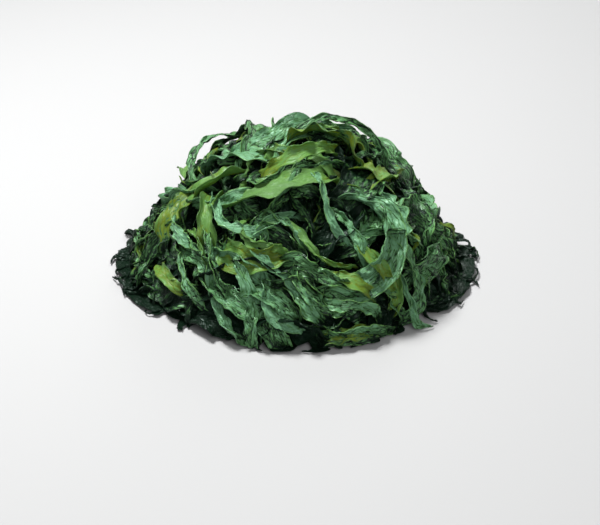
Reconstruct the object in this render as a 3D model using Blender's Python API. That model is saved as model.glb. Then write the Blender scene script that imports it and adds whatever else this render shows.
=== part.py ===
"""Wakame: a heap of boiled, drained fronds as it lies on a flat surface.

Units are metres, +Z is up, and the origin is the middle of the heap's flat underside. The heap is seen
from the front along +Y. Every frond is one curved strip whose middle line is drawn on the mound as if the
mound were a flat sheet: a distance from the top and a bearing give a place on it. The fronds that cross in
the heap are one fused node, and the fronds that lie free on it are nodes of their own.
"""

import math
from typing import NamedTuple

import bmesh
import bpy
import numpy as np

# Driving sizes of the mound that the fronds lie on: its side is a power curve, its top leans to the right
HEAP_RADIUS = 0.092
HEAP_HEIGHT = 0.075
ROUNDNESS = 2.1
LEAN = 0.004
LUMP_HEIGHT = 0.0030
LUMP_LENGTH = 0.105

# The packed middle, which the fronds stand out of: its share of the mound's radius, and its folds
CORE_SHARE = 0.88
CORE_DROP = 0.010
CORE_RELIEF = 0.0045
CORE_RINGS = 7
CORE_SECTORS = 30

# Thickness of a frond, room round the free ones, and how fronds flatten out just above the floor
BLADE_THICKNESS = 0.0011
SLOT_CLEARANCE = 0.0012
FLOOR_GAP = 0.0016
FLOOR_SOFTNESS = 0.0012

# Rings of fronds in the tangle: the share of the way down the mound's side, and how many lie there
TANGLE_RINGS = [(0.10, 3), (0.32, 6), (0.53, 9), (0.73, 12), (0.90, 15)]
TANGLE_SEED = 11

# Spacing of the rows of points along a frond
FREE_PITCH = 0.010
TANGLE_PITCH = 0.014

MM = 0.001
TAU = 2 * math.pi
AXIS_SAMPLES = 97
SECTION_SAMPLES = 33


class Frond(NamedTuple):
    """One strip of leaf. Lengths are in millimetres and angles in degrees.

    right and back place its middle on the unrolled mound, heading is its direction there (0 to the right,
    90 to the back), bend and sway turn it along its length, rise lifts its middle off the mound and dip
    tucks its ends in, bob waves it up and down, roll and twist turn it about its middle line, cup curls it
    across, fold adds an S to that, and ruffle waves its edges.
    """

    name: str
    right: float
    back: float
    heading: float
    bend: float
    length: float
    width: float
    rise: float = 4
    dip: float = 10
    sway: float = 0
    bob: float = 0
    bobs: float = 2
    roll: float = 0
    twist: float = 0
    cup: float = 60
    fold: float = 0
    ruffle: float = 1.5
    waves: float = 4
    seed: int = 0
    slot: str = "dark_frond"


FREE_FRONDS = [
    Frond("broad_frond", -12, -40, 10, 60, 76, 19, rise=9, dip=14, roll=-30, twist=50, cup=70, seed=1,
          slot="light_frond"),
    Frond("side_frond", -55, -20, -165, -25, 60, 18, rise=7, dip=14, roll=22, twist=-20, cup=70, seed=2,
          slot="light_frond"),
    Frond("cupped_frond", -29, -76, -18, 150, 64, 16, rise=7, dip=12, roll=10, twist=-20, cup=90, ruffle=1,
          seed=34, slot="light_frond"),
    Frond("curled_frond", 52, -62, 96, 225, 102, 20, rise=10, dip=12, roll=12, twist=70, cup=60, seed=6),
    Frond("midrib_strip", -17, -58, 20, 8, 44, 8, rise=5, dip=12, cup=150, ruffle=0.3, seed=5,
          slot="midrib"),
    Frond("long_frond", -40, -94, -41, 34, 92, 13, rise=6, dip=11, roll=-16, twist=60, cup=120, seed=7),
    Frond("round_frond", 46, -17, -10, 20, 40, 22, rise=5, dip=12, roll=-22, cup=35, ruffle=1, waves=2,
          seed=18, slot="light_frond"),
    Frond("arched_strand", 24, 11, 6, -28, 80, 6, rise=11, dip=12, roll=46, twist=60, cup=90, ruffle=1,
          seed=14),
    Frond("looped_strand", -56, 24, 55, -80, 70, 6, rise=12, dip=10, roll=40, twist=-70, cup=90, ruffle=1,
          seed=15),
    Frond("front_frond", 44, -112, 16, 20, 70, 13, rise=5, dip=8, roll=20, twist=30, cup=90, seed=13),
    Frond("right_frond", 88, -48, 60, 30, 74, 16, rise=7, dip=12, roll=15, twist=-40, cup=80, seed=19),
    Frond("back_frond", 14, 68, 172, 60, 92, 19, rise=7, dip=12, roll=-20, twist=40, cup=70, seed=21),
    Frond("back_light_frond", -66, 54, 70, -50, 72, 17, rise=7, dip=12, roll=20, twist=-30, cup=70, seed=22,
          slot="light_frond"),
]

# Fronds of the tangle that spread out at the foot of the heap, to the left and right
FOOT_FRONDS = [
    Frond("foot_right", 123, -13, 86, 45, 66, 18, rise=3, dip=10, roll=-45, cup=50, seed=61),
    Frond("foot_right_front", 113, -53, 65, 48, 62, 17, rise=2, dip=10, roll=-50, seed=65),
    Frond("foot_right_back", 90, 78, 150, -30, 62, 14, rise=4, dip=10, roll=-20, cup=80, seed=62),
    Frond("foot_left", -123, -13, 274, 45, 66, 18, rise=3, dip=10, roll=-45, cup=50, seed=63),
    Frond("foot_left_front", -113, -53, 295, 48, 62, 17, rise=2, dip=10, roll=-50, seed=66),
]

COLOURS = {
    "dark_frond": ((0.018, 0.075, 0.040), 0.34),
    "light_frond": ((0.080, 0.190, 0.045), 0.38),
    "midrib": ((0.060, 0.120, 0.085), 0.42),
}


def mound_profile():
    """Distance down the mound's side, and the radius and height there: z = H (1 - (r/R)^n)."""
    radius = np.linspace(0, HEAP_RADIUS, 600)
    height = HEAP_HEIGHT * (1 - (radius / HEAP_RADIUS) ** ROUNDNESS)
    steps = np.hypot(np.diff(radius), np.diff(height))
    return np.concatenate([[0], np.cumsum(steps)]), radius, height


DISTANCE, RADIUS, HEIGHT = mound_profile()
SLOPE_RADIUS = np.gradient(RADIUS, DISTANCE)
SLOPE_HEIGHT = np.gradient(HEIGHT, DISTANCE)


def on_mound(right, back):
    """The point of the mound at a place on the unrolled sheet, and the mound's outward normal there.

    The mound leans a little to the right, and low lumps rise and sink on it.
    """
    distance = np.hypot(right, back)
    bearing = np.arctan2(back, right)
    radius = np.interp(distance, DISTANCE, RADIUS) + np.maximum(distance - DISTANCE[-1], 0)
    height = np.interp(distance, DISTANCE, HEIGHT)
    out = -np.interp(distance, DISTANCE, SLOPE_HEIGHT)
    up = np.interp(distance, DISTANCE, SLOPE_RADIUS)
    size = np.hypot(out, up)
    point = np.stack([radius * np.cos(bearing), radius * np.sin(bearing), height], -1)
    normal = np.stack([out / size * np.cos(bearing), out / size * np.sin(bearing), up / size], -1)
    point[..., 0] += LEAN * (height / HEAP_HEIGHT) ** 2
    turns = TAU / LUMP_LENGTH
    lump = np.sin(right * turns + 0.8) * np.cos(back * turns * 0.9 + 0.5)
    lump *= LUMP_HEIGHT * np.minimum(height / HEAP_HEIGHT * 2, 1)
    return point + normal * lump[..., None], normal


def unit(vectors):
    return vectors / np.maximum(np.linalg.norm(vectors, axis=-1, keepdims=True), 1e-12)


def running_sum(values, step, axis=0):
    """The integral of values from the first sample, by trapezoids."""
    values = np.moveaxis(values, axis, 0)
    total = np.zeros_like(values)
    total[1:] = np.cumsum((values[1:] + values[:-1]) / 2, axis=0) * step
    return np.moveaxis(total, 0, axis)


def frond_axis(frond, phases):
    """The middle line of a frond, with the mound's normal below it, at evenly spaced places along it."""
    along = np.linspace(0, 1, AXIS_SAMPLES)
    spread = 2 * along - 1
    turn = np.radians(frond.heading + frond.bend * (along - 0.5) + frond.sway * np.sin(TAU * along + phases[0]))
    step = frond.length * MM / (AXIS_SAMPLES - 1)
    right = running_sum(np.cos(turn), step)
    back = running_sum(np.sin(turn), step)
    middle = AXIS_SAMPLES // 2
    right += frond.right * MM - right[middle]
    back += frond.back * MM - back[middle]
    lift = frond.rise * (1 - spread**2) - frond.dip * spread**4
    lift += frond.bob * np.sin(TAU * frond.bobs * along + phases[1])
    base, normal = on_mound(right, back)
    return base + normal * (lift * MM)[:, None], normal


def frond_section(frond, phases):
    """Across a frond, at places along it: how far its cross-section reaches sideways and up.

    The section's direction turns by cup and fold, and is summed, so that the strip keeps its true width.
    The width narrows to both ends and swells a little along the way.
    """
    along = np.linspace(0, 1, AXIS_SAMPLES)[:, None]
    across = np.linspace(-0.5, 0.5, SECTION_SAMPLES)[None, :]
    cup = np.radians(frond.cup) * (1 + 0.5 * np.sin(TAU * 1.3 * along + phases[2]))
    fold = np.radians(frond.fold) * np.sin(TAU * 0.8 * along + phases[3])
    tilt = cup * across + fold * np.sin(TAU * across)
    step = 1 / (SECTION_SAMPLES - 1)
    side = running_sum(np.cos(tilt), step, 1)
    up = running_sum(np.sin(tilt), step, 1)
    middle = SECTION_SAMPLES // 2
    taper = np.sin(math.pi * (0.07 + 0.88 * along)) ** 0.6
    taper = taper * (1 + 0.13 * np.sin(TAU * 2.1 * along + phases[4]))
    width = frond.width * MM * taper
    return width * (side - side[:, middle, None]), width * (up - up[:, middle, None])


def frond_surface(frond, rows, columns, margin=0.0):
    """A frond's middle surface as a grid of points, rows along it and columns across it."""
    phases = np.random.default_rng(frond.seed).uniform(0, TAU, 8)
    axis, normal = frond_axis(frond, phases)
    side, up = frond_section(frond, phases)
    tangent = unit(np.gradient(axis, axis=0))
    sideways = unit(np.cross(normal, tangent))
    outward = np.cross(tangent, sideways)

    along = np.linspace(0, 1, AXIS_SAMPLES)
    across = np.linspace(-0.5, 0.5, SECTION_SAMPLES)
    roll = np.radians(frond.roll + frond.twist * (along - 0.5))[:, None]
    left = sideways * np.cos(roll) + outward * np.sin(roll)
    top = outward * np.cos(roll) - sideways * np.sin(roll)

    edge = np.abs(2 * across) ** 2.5
    beat = TAU * frond.waves * along + 0.9 * np.sin(TAU * 1.7 * along + phases[5])
    wave_left = np.sin(beat + phases[6])[:, None] * (across < 0)
    wave_right = np.sin(beat * 1.13 + phases[7])[:, None] * (across > 0)
    up = up + frond.ruffle * MM * edge * (wave_left + wave_right)
    grid = axis[:, None] + left[:, None] * side[..., None] + top[:, None] * up[..., None]

    reach = np.linspace(0, 1, rows) * (AXIS_SAMPLES - 1)
    spread = np.linspace(0, 1, columns) * (SECTION_SAMPLES - 1)
    grid = resample(resample(grid, reach, 0), spread, 1)
    grid = push_ends(grid, margin)
    height = (grid[..., 2] - FLOOR_GAP) / FLOOR_SOFTNESS
    grid[..., 2] = FLOOR_GAP + FLOOR_SOFTNESS * np.logaddexp(0, height)
    return grid


def resample(grid, places, axis):
    """Reads a grid at fractional places along one axis, straight between its samples."""
    low = np.minimum(places.astype(int), grid.shape[axis] - 2)
    share = (places - low).reshape([-1 if i == axis else 1 for i in range(grid.ndim)])
    return np.take(grid, low, axis) * (1 - share) + np.take(grid, low + 1, axis) * share


def push_ends(grid, margin):
    """Moves a grid's border outwards by margin, along the grid's own directions."""
    if margin == 0:
        return grid
    grid = grid.copy()
    grid[0] -= unit(grid[1] - grid[0]) * margin
    grid[-1] += unit(grid[-1] - grid[-2]) * margin
    grid[:, 0] -= unit(grid[:, 1] - grid[:, 0]) * margin
    grid[:, -1] += unit(grid[:, -1] - grid[:, -2]) * margin
    return grid


def blade_mesh(name, grid, thickness):
    """A closed blade round a grid of points: two faces alike, split the same way, and a rim."""
    rows, columns = grid.shape[:2]
    normal = unit(np.cross(np.gradient(grid, axis=0), np.gradient(grid, axis=1)))
    top = (grid + normal * thickness / 2).reshape(-1, 3)
    bottom = (grid - normal * thickness / 2).reshape(-1, 3)
    index = np.arange(rows * columns).reshape(rows, columns)
    a, b = index[:-1, :-1].ravel(), index[1:, :-1].ravel()
    c, d = index[1:, 1:].ravel(), index[:-1, 1:].ravel()
    upper = np.concatenate([np.stack([a, b, c], 1), np.stack([a, c, d], 1)])
    lower = upper[:, ::-1] + rows * columns
    rim = np.concatenate([index[:, 0], index[-1, 1:], index[-2::-1, -1], index[0, -2:0:-1]])
    after = np.roll(rim, -1)
    below, below_after = rim + rows * columns, after + rows * columns
    sides = np.concatenate([np.stack([after, rim, below], 1), np.stack([after, below, below_after], 1)])
    faces = np.concatenate([upper, lower, sides])
    mesh = bpy.data.meshes.new(name)
    mesh.from_pydata(np.concatenate([top, bottom]).tolist(), [], faces.tolist())
    mesh.validate()
    return mesh


def add_object(name, mesh, slot):
    made = bpy.data.objects.new(name, mesh)
    mesh.materials.append(frond_material(slot))
    bpy.context.scene.collection.objects.link(made)
    return made


def frond_material(slot):
    """The plain material of one colour of frond, made once."""
    if slot in bpy.data.materials:
        return bpy.data.materials[slot]
    colour, roughness = COLOURS[slot]
    material = bpy.data.materials.new(slot)
    material.use_nodes = True
    shader = material.node_tree.nodes["Principled BSDF"]
    shader.inputs["Base Color"].default_value = (*colour, 1)
    shader.inputs["Roughness"].default_value = roughness
    shader.inputs["Metallic"].default_value = 0
    return material


def add_frond(frond, name=None, pitch=FREE_PITCH, margin=0.0, thickness=BLADE_THICKNESS):
    """A frond as a closed blade, with a row of points every pitch along it."""
    rows = max(5, round(frond.length * MM / pitch))
    columns = 4 if frond.width * MM > 1.9 * pitch else 3
    grid = frond_surface(frond, rows, columns, margin)
    return add_object(name or frond.name, blade_mesh(frond.name, grid, thickness), frond.slot)


def tangle_fronds():
    """The fronds that cross in the heap, in rings round the mound, each ring spaced evenly with some play.

    In a ring they run round the mound, slanting up and down by turns. The lowest slant least, and are
    shorter and narrower.
    """
    draw = np.random.default_rng(TANGLE_SEED)
    fronds = []
    for outer, count in TANGLE_RINGS:
        start = draw.uniform(0, 360)
        for k in range(count):
            distance = (outer + draw.uniform(-0.04, 0.04)) * DISTANCE[-1] / MM
            bearing = start + (k + draw.uniform(-0.25, 0.25)) * 360 / count
            slant = draw.uniform(15, 75) * (1 - 0.6 * outer) * (-1) ** k
            fronds.append(
                Frond(
                    f"tangled_{len(fronds):02d}",
                    right=distance * math.cos(math.radians(bearing)),
                    back=distance * math.sin(math.radians(bearing)),
                    heading=bearing + 90 + slant,
                    bend=draw.uniform(-110, 110) * (1 - 0.5 * outer),
                    length=draw.uniform(70, 104) * (1 - 0.22 * outer),
                    width=draw.uniform(15, 25) * (1 - 0.25 * outer),
                    rise=draw.uniform(0, 6) * (1 - 0.5 * outer),
                    dip=draw.uniform(13, 19),
                    sway=draw.uniform(0, 30),
                    bob=draw.uniform(0.3, 1.8),
                    bobs=draw.uniform(1.5, 3),
                    roll=draw.uniform(-38, 38),
                    twist=draw.uniform(-90, 90),
                    cup=draw.uniform(30, 130),
                    fold=draw.uniform(0, 40),
                    ruffle=draw.uniform(1, 2.6),
                    waves=draw.uniform(3, 6),
                    seed=100 + len(fronds),
                )
            )
    return fronds


def core_mesh():
    """The packed middle: a smaller mound with a flat underside and folds raised from it by a formula."""
    rings = np.linspace(0, 1, CORE_RINGS + 1)[1:]
    bearing = np.linspace(0, TAU, CORE_SECTORS, endpoint=False)
    ring, angle = np.meshgrid(rings, bearing, indexing="ij")
    distance = ring * DISTANCE[-1]
    point, normal = on_mound(distance * np.cos(angle), distance * np.sin(angle))
    folds = np.sin(12 * angle + 7 * ring + 1.5 * np.sin(2 * angle)) * np.sin(11 * ring + 2 * np.sin(3 * angle))
    point[..., :2] *= CORE_SHARE
    point[..., 2] *= 1 - CORE_DROP / HEAP_HEIGHT
    point += normal * (CORE_RELIEF * folds * (1 - 0.6 * ring**4))[..., None]
    point[:-1, :, 2] = np.maximum(point[:-1, :, 2], CORE_RELIEF)
    point[-1, :, 2] = 0.0
    mesh = bmesh.new()
    top = mesh.verts.new((0, 0, HEAP_HEIGHT - CORE_DROP))
    rows = [[mesh.verts.new(p) for p in line] for line in point]
    for k in range(CORE_SECTORS):
        after = (k + 1) % CORE_SECTORS
        mesh.faces.new((top, rows[0][k], rows[0][after]))
        for inner, outer in zip(rows[:-1], rows[1:]):
            mesh.faces.new((inner[k], outer[k], outer[after], inner[after]))
    mesh.faces.new(rows[-1][::-1])
    bmesh.ops.triangulate(mesh, faces=mesh.faces)
    bmesh.ops.recalc_face_normals(mesh, faces=mesh.faces)
    made = bpy.data.meshes.new("tangled_fronds")
    mesh.to_mesh(made)
    mesh.free()
    return made


def apply_boolean(target, operation, parts):
    """Joins or cuts target with every part at once, applies it and removes the parts."""
    group = bpy.data.collections.new("parts")
    bpy.context.scene.collection.children.link(group)
    for part in parts:
        group.objects.link(part)
    modifier = target.modifiers.new(operation.lower(), "BOOLEAN")
    modifier.operation = operation
    modifier.operand_type = "COLLECTION"
    modifier.collection = group
    modifier.solver = "MANIFOLD"
    bpy.context.view_layer.update()
    evaluated = target.evaluated_get(bpy.context.evaluated_depsgraph_get())
    mesh = bpy.data.meshes.new_from_object(evaluated)
    target.modifiers.remove(modifier)
    target.data = mesh
    for part in parts:
        bpy.data.objects.remove(part)
    bpy.data.collections.remove(group)


def keep_largest(target):
    """Drops the loose scraps that a cut leaves, and keeps the piece with the most faces."""
    mesh = bmesh.new()
    mesh.from_mesh(target.data)
    mesh.verts.ensure_lookup_table()
    waiting = set(mesh.verts)
    pieces = []
    while waiting:
        piece, edge = set(), [waiting.pop()]
        while edge:
            vert = edge.pop()
            piece.add(vert)
            near = {e.other_vert(vert) for e in vert.link_edges} & waiting
            waiting -= near
            edge.extend(near)
        pieces.append(piece)
    largest = max(pieces, key=len)
    bmesh.ops.delete(mesh, geom=[v for v in mesh.verts if v not in largest], context="VERTS")
    mesh.to_mesh(target.data)
    mesh.free()


def build():
    for old in list(bpy.data.objects):
        bpy.data.objects.remove(old)
    tangle = add_object("tangled_fronds", core_mesh(), "dark_frond")
    crossing = tangle_fronds() + FOOT_FRONDS
    apply_boolean(tangle, "UNION", [add_frond(f, pitch=TANGLE_PITCH) for f in crossing])
    slots = [
        add_frond(f, f"slot_{f.name}", FREE_PITCH, SLOT_CLEARANCE, BLADE_THICKNESS + 2 * SLOT_CLEARANCE)
        for f in FREE_FRONDS
    ]
    apply_boolean(tangle, "DIFFERENCE", slots)
    keep_largest(tangle)
    for frond in FREE_FRONDS:
        add_frond(frond)


build()
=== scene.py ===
"""Looks of the wakame heap: fine wrinkled fronds in place of the plain solids, on a pale floor.

Every frond is a surface worked out on a grid: its middle line is drawn on the mound as if the mound were a
flat sheet, and its cross-section is carried along that line. The mound, the frond formula and the places of
the tangled and free fronds are the same as in the part's source, so each fine frond lies where its solid is.
"""

import math
from typing import NamedTuple

import bpy
import numpy as np
from bpy.props import FloatProperty, FloatVectorProperty, IntProperty, PointerProperty
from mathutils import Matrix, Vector


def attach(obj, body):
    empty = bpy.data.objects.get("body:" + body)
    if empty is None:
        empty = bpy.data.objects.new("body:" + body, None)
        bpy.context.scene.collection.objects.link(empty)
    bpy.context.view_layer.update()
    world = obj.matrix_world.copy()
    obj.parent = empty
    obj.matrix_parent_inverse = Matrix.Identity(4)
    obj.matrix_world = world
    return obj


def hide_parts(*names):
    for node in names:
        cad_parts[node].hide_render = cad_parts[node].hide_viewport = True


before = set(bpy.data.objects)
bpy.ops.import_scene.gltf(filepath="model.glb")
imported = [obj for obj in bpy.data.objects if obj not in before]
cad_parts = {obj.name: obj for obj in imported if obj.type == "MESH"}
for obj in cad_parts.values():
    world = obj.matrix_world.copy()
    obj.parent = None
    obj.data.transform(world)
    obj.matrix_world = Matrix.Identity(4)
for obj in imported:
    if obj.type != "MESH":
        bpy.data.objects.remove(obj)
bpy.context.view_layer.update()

bl_info = {
    "name": "Wakame heap",
    "version": (1, 0, 0),
    "blender": (4, 5, 0),
    "location": "View3D > Sidebar > Wakame",
    "description": "A heap of boiled, drained wakame fronds",
    "category": "Add Mesh",
}

# The mound that the fronds lie on, its packed middle and the rings of the tangle, as in the part's source,
# in metres: the mound's side is a power curve, its top leans to the right, and low lumps rise on it
HEAP_RADIUS = 0.092
HEAP_HEIGHT = 0.075
ROUNDNESS = 2.1
LEAN = 0.004
LUMP_HEIGHT = 0.0030
LUMP_LENGTH = 0.105
CORE_SHARE = 0.88
CORE_DROP = 0.010
CORE_RELIEF = 0.0045
TANGLE_RINGS = [(0.10, 3), (0.32, 6), (0.53, 9), (0.73, 12), (0.90, 15)]
TANGLE_SEED = 11

# The middle's finer folds, how far it lies below the mound, and its grid round and down
CORE_FOLDS = 0.0022
CORE_SINK = 0.0035
CORE_RINGS = 110
CORE_SECTORS = 320

# How near the floor a frond may come, and how softly the floor holds it up
FLOOR_GAP = 0.0012
FLOOR_SOFTNESS = 0.0012

# Half the width and depth past which the heap is drawn in, and the share of the excess that is left
REACH = (0.103, 0.095)
REACH_SHARE = 0.3

# Distances between rows of points along a frond, in metres, where they aren't the tangle's
FREE_PITCH = 0.0010
FACE_PITCH = 0.0011
STRAND_PITCH = 0.0016
SMALL_PITCH = 0.0020

# The golden angle in degrees, and the golden share of one, which spread things without a pattern
GOLDEN_ANGLE = 137.508
GOLDEN_SHARE = 0.61803

# Heights above the mound's surface where a frond starts to darken with painted shade, and where it is fully
# dark
SHADE_START_HEIGHT = 0.0055
FULL_SHADE_HEIGHT = -0.0030

# The material of each slot
FINISHES = {"dark_frond": "wet_dark_leaf", "light_frond": "wet_light_leaf", "midrib": "wet_midrib"}

# What each point has besides its place: how near its frond's edge it is, its tone, lowered by painted shade
# deep and low in the heap, and its pleat's height, from which the crests get a painted highlight
SHADES = ("edge", "tone", "ridge")

# Samples along and across a frond before it is read at the grid that its mesh needs
AXIS_SAMPLES = 97
SECTION_SAMPLES = 33
MM = 0.001
TAU = 2 * math.pi

# The camera: the photograph's direction and the distance that gives its perspective
IMAGE_WIDTH = 600
CAMERA_LENS = 85
CAMERA_ELEVATION = 30.2
CAMERA_DISTANCE = 0.81
CAMERA_TARGET = (0, 0, 0.020)
CAMERA_SHIFT = (4.35 / IMAGE_WIDTH, -34.1 / IMAGE_WIDTH)

# The floor, and the soft lights: name, place, size in metres and power in watts
FLOOR_REACH = 6.0
FLOOR_DROP = 0.0002
LIGHT_TARGET = (0, 0, 0.03)
LIGHTS = [
    ("key", (-0.30, 0.15, 0.93), 0.26, 20.5),
    ("back", (0.30, 0.80, 0.60), 0.50, 4),
    ("front", (0.25, -0.85, 0.70), 0.60, 5),
]


class Frond(NamedTuple):
    """One strip of leaf. Lengths are in millimetres and angles in degrees.

    right and back place its middle on the unrolled mound, heading is its direction there (0 to the right,
    90 to the back), bend and sway turn it along its length, rise lifts its middle off the mound and dip
    tucks its ends in, bob waves it up and down, roll and twist turn it about its middle line, cup curls it
    across, fold adds an S to that, and ruffle waves its edges. bobs and waves say how often, and seed sets
    where. slot is its finish, tone its shade, from about 0, dark, to 1, and crease how deep it is creased.
    """

    name: str
    right: float
    back: float
    heading: float
    bend: float
    length: float
    width: float
    rise: float = 4
    dip: float = 10
    sway: float = 0
    bob: float = 0
    bobs: float = 2
    roll: float = 0
    twist: float = 0
    cup: float = 60
    fold: float = 0
    ruffle: float = 1.5
    waves: float = 4
    seed: int = 0
    slot: str = "dark_frond"
    tone: float = 0.5
    crease: float = 1.0


# Fronds that lie free on the heap, each in place of its solid
FREE_FRONDS = [
    Frond("broad_frond", -12, -40, 10, 60, 76, 19, rise=9, dip=14, roll=-30, twist=50, cup=70, seed=1,
          slot="light_frond", tone=0.6, crease=0.5),
    Frond("side_frond", -55, -20, -165, -25, 60, 18, rise=7, dip=14, roll=22, twist=-20, cup=70, seed=2,
          slot="light_frond", tone=0.5, crease=0.5),
    Frond("cupped_frond", -29, -76, -18, 150, 64, 16, rise=7, dip=12, roll=10, twist=-20, cup=90, ruffle=1,
          seed=34, slot="light_frond", tone=0.4, crease=0.7),
    Frond("curled_frond", 52, -62, 96, 225, 102, 20, rise=10, dip=12, roll=12, twist=70, cup=125, seed=6,
          tone=0.75, crease=1.2),
    Frond("midrib_strip", -17, -58, 20, 8, 44, 8, rise=5, dip=12, cup=150, ruffle=0.3, seed=5,
          slot="midrib", tone=0.6),
    Frond("long_frond", -40, -94, -41, 34, 92, 13, rise=6, dip=11, roll=-16, twist=60, cup=120, seed=7,
          tone=0.55, crease=1.2),
    Frond("round_frond", 46, -17, -10, 20, 40, 22, rise=5, dip=12, roll=-22, cup=35, ruffle=1, waves=2,
          seed=18, slot="light_frond", tone=0.4, crease=0.2),
    Frond("arched_strand", 24, 11, 6, -28, 80, 5, rise=11, dip=12, roll=46, twist=60, cup=90, ruffle=1,
          seed=14, tone=0.35),
    Frond("looped_strand", -56, 24, 55, -80, 70, 5, rise=12, dip=10, roll=40, twist=-70, cup=90, ruffle=1,
          seed=15, tone=0.35),
    Frond("front_frond", 44, -112, 16, 20, 70, 13, rise=5, dip=8, roll=20, twist=30, cup=90, seed=13,
          tone=0.6),
    Frond("right_frond", 88, -48, 60, 30, 74, 16, rise=7, dip=12, roll=15, twist=-40, cup=80, seed=19,
          tone=0.4),
    Frond("back_frond", 14, 68, 172, 60, 92, 19, rise=7, dip=12, roll=-20, twist=40, cup=70, seed=21,
          tone=0.5),
    Frond("back_light_frond", -66, 54, 70, -50, 72, 17, rise=7, dip=12, roll=20, twist=-30, cup=70, seed=22,
          slot="light_frond", tone=0.5, crease=0.5),
]

# Fronds of the tangle that spread out at the foot of the heap, to the left and right
FOOT_FRONDS = [
    Frond("foot_right", 123, -13, 86, 45, 66, 18, rise=3, dip=10, roll=-45, cup=50, seed=61, tone=0.1),
    Frond("foot_right_front", 113, -53, 65, 48, 62, 17, rise=2, dip=10, roll=-50, seed=65, tone=0.3),
    Frond("foot_right_back", 90, 78, 150, -30, 62, 14, rise=4, dip=10, roll=-20, cup=80, seed=62, tone=0.2),
    Frond("foot_left", -123, -13, 274, 45, 66, 18, rise=3, dip=10, roll=-45, cup=50, seed=63, tone=0.1),
    Frond("foot_left_front", -113, -53, 295, 48, 62, 17, rise=2, dip=10, roll=-50, seed=66, tone=0.25),
]

# Fronds that lie on the visible face of the heap
FACE_FRONDS = [
    Frond("folded", -50, -43, -94, -15, 48, 14, rise=8, dip=10, roll=-10, twist=60, cup=150, seed=31,
          slot="light_frond", tone=0.45, crease=0.6),
    Frond("strand_b", -34, -75, -34, -17, 64, 10, rise=6, dip=10, roll=30, twist=-60, cup=110, seed=32,
          tone=0.7, crease=1.2),
    Frond("strand_c", -16, -96, -30, -47, 58, 11, rise=6, dip=10, roll=-20, twist=50, cup=90, seed=33,
          tone=0.6, crease=1.2),
    Frond("centre", 4, -82, -19, -49, 42, 14, rise=7, dip=10, roll=20, cup=100, seed=34, tone=0.4),
    Frond("low_centre", 8, -100, -39, 0, 38, 14, rise=6, dip=9, roll=-20, twist=30, seed=35, tone=0.6),
    Frond("low_right", 32, -97, -2, 0, 46, 18, rise=6, dip=9, roll=15, cup=60, seed=36, tone=0.5),
    Frond("olive", 35, -87, -12, 0, 42, 9, rise=11, dip=10, roll=-20, cup=80, ruffle=0.8, seed=37,
          slot="light_frond", tone=0.35, crease=0.5),
    Frond("olive_right", 50, -76, -38, 20, 40, 7, rise=11, dip=9, roll=30, cup=100, ruffle=0.8, seed=55,
          slot="light_frond", tone=0.4, crease=0.7),
    Frond("olive_left", -84, -62, -62, 0, 46, 8, rise=9, dip=9, roll=-20, cup=100, ruffle=0.8, seed=57,
          slot="light_frond", tone=0.35, crease=0.7),
    Frond("right_narrow", 63, -82, -77, 0, 32, 8, rise=7, dip=8, roll=40, cup=90, seed=38,
          slot="light_frond", tone=0.5, crease=0.6),
    Frond("foot_upright", -29, -111, -91, 0, 30, 8, rise=6, dip=7, cup=120, seed=39, tone=0.7),
    Frond("foot_fan", -16, -114, -49, 0, 34, 13, rise=5, dip=7, cup=80, seed=40, tone=0.6),
    Frond("foot_light", 39, -113, 18, 0, 58, 11, rise=6, dip=7, roll=-30, cup=80, seed=41, tone=0.35,
          slot="light_frond", crease=0.6),
    Frond("upright", 47, -15, 57, 0, 52, 12, rise=7, dip=10, roll=-25, twist=40, cup=90, ruffle=0.8,
          seed=42, slot="light_frond", tone=0.3, crease=0.4),
    Frond("top_left", -38, 0, -35, 0, 60, 18, rise=6, dip=10, roll=-25, cup=50, seed=43, tone=0.85,
          crease=0.5),
    Frond("top_ruffled", -1, -21, 20, 47, 56, 10, rise=7, dip=10, roll=20, twist=50, cup=110, ruffle=1.6,
          waves=6, seed=44, slot="light_frond", tone=0.45, crease=0.8),
    Frond("top_back", 13, -3, 160, 30, 56, 16, rise=6, dip=10, roll=30, cup=80, ruffle=2.5, seed=45,
          slot="light_frond", tone=0.15, crease=0.6),
    Frond("right_edge", 90, -27, 5, 34, 56, 11, rise=5, dip=8, roll=20, cup=90, seed=46, tone=0.2),
    Frond("left_edge", -90, -32, 185, 58, 56, 11, rise=5, dip=8, roll=-20, cup=90, seed=47, tone=0.15),
    Frond("far_right", 82, -55, 59, 0, 62, 13, rise=6, dip=10, roll=30, twist=40, cup=90, seed=48),
    Frond("low_far_right", 79, -76, 103, 154, 54, 13, rise=6, dip=9, roll=20, cup=80, seed=49, tone=0.6),
    Frond("crest", 57, -44, 120, 60, 54, 11, rise=10, dip=12, roll=70, twist=60, cup=60, ruffle=2.2,
          waves=6, seed=50, tone=0.75, crease=1.4),
    Frond("inner_curl", 40, -58, 60, 120, 54, 13, rise=6, dip=10, roll=-30, twist=-60, cup=110, ruffle=2.2,
          seed=51, tone=0.3, crease=1.4),
    Frond("mid_left", -62, -60, -50, 10, 60, 13, rise=6, dip=10, roll=20, twist=60, cup=100, seed=52,
          tone=0.45),
    Frond("shoulder_left", -76, -25, -130, 20, 56, 14, rise=6, dip=10, roll=-20, twist=40, cup=90,
          seed=53, slot="light_frond", tone=0.2, crease=0.6),
    Frond("shoulder_right", 78, -20, -60, -40, 58, 12, rise=6, dip=10, roll=40, twist=70, cup=110,
          seed=54, tone=0.15),
]


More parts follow.
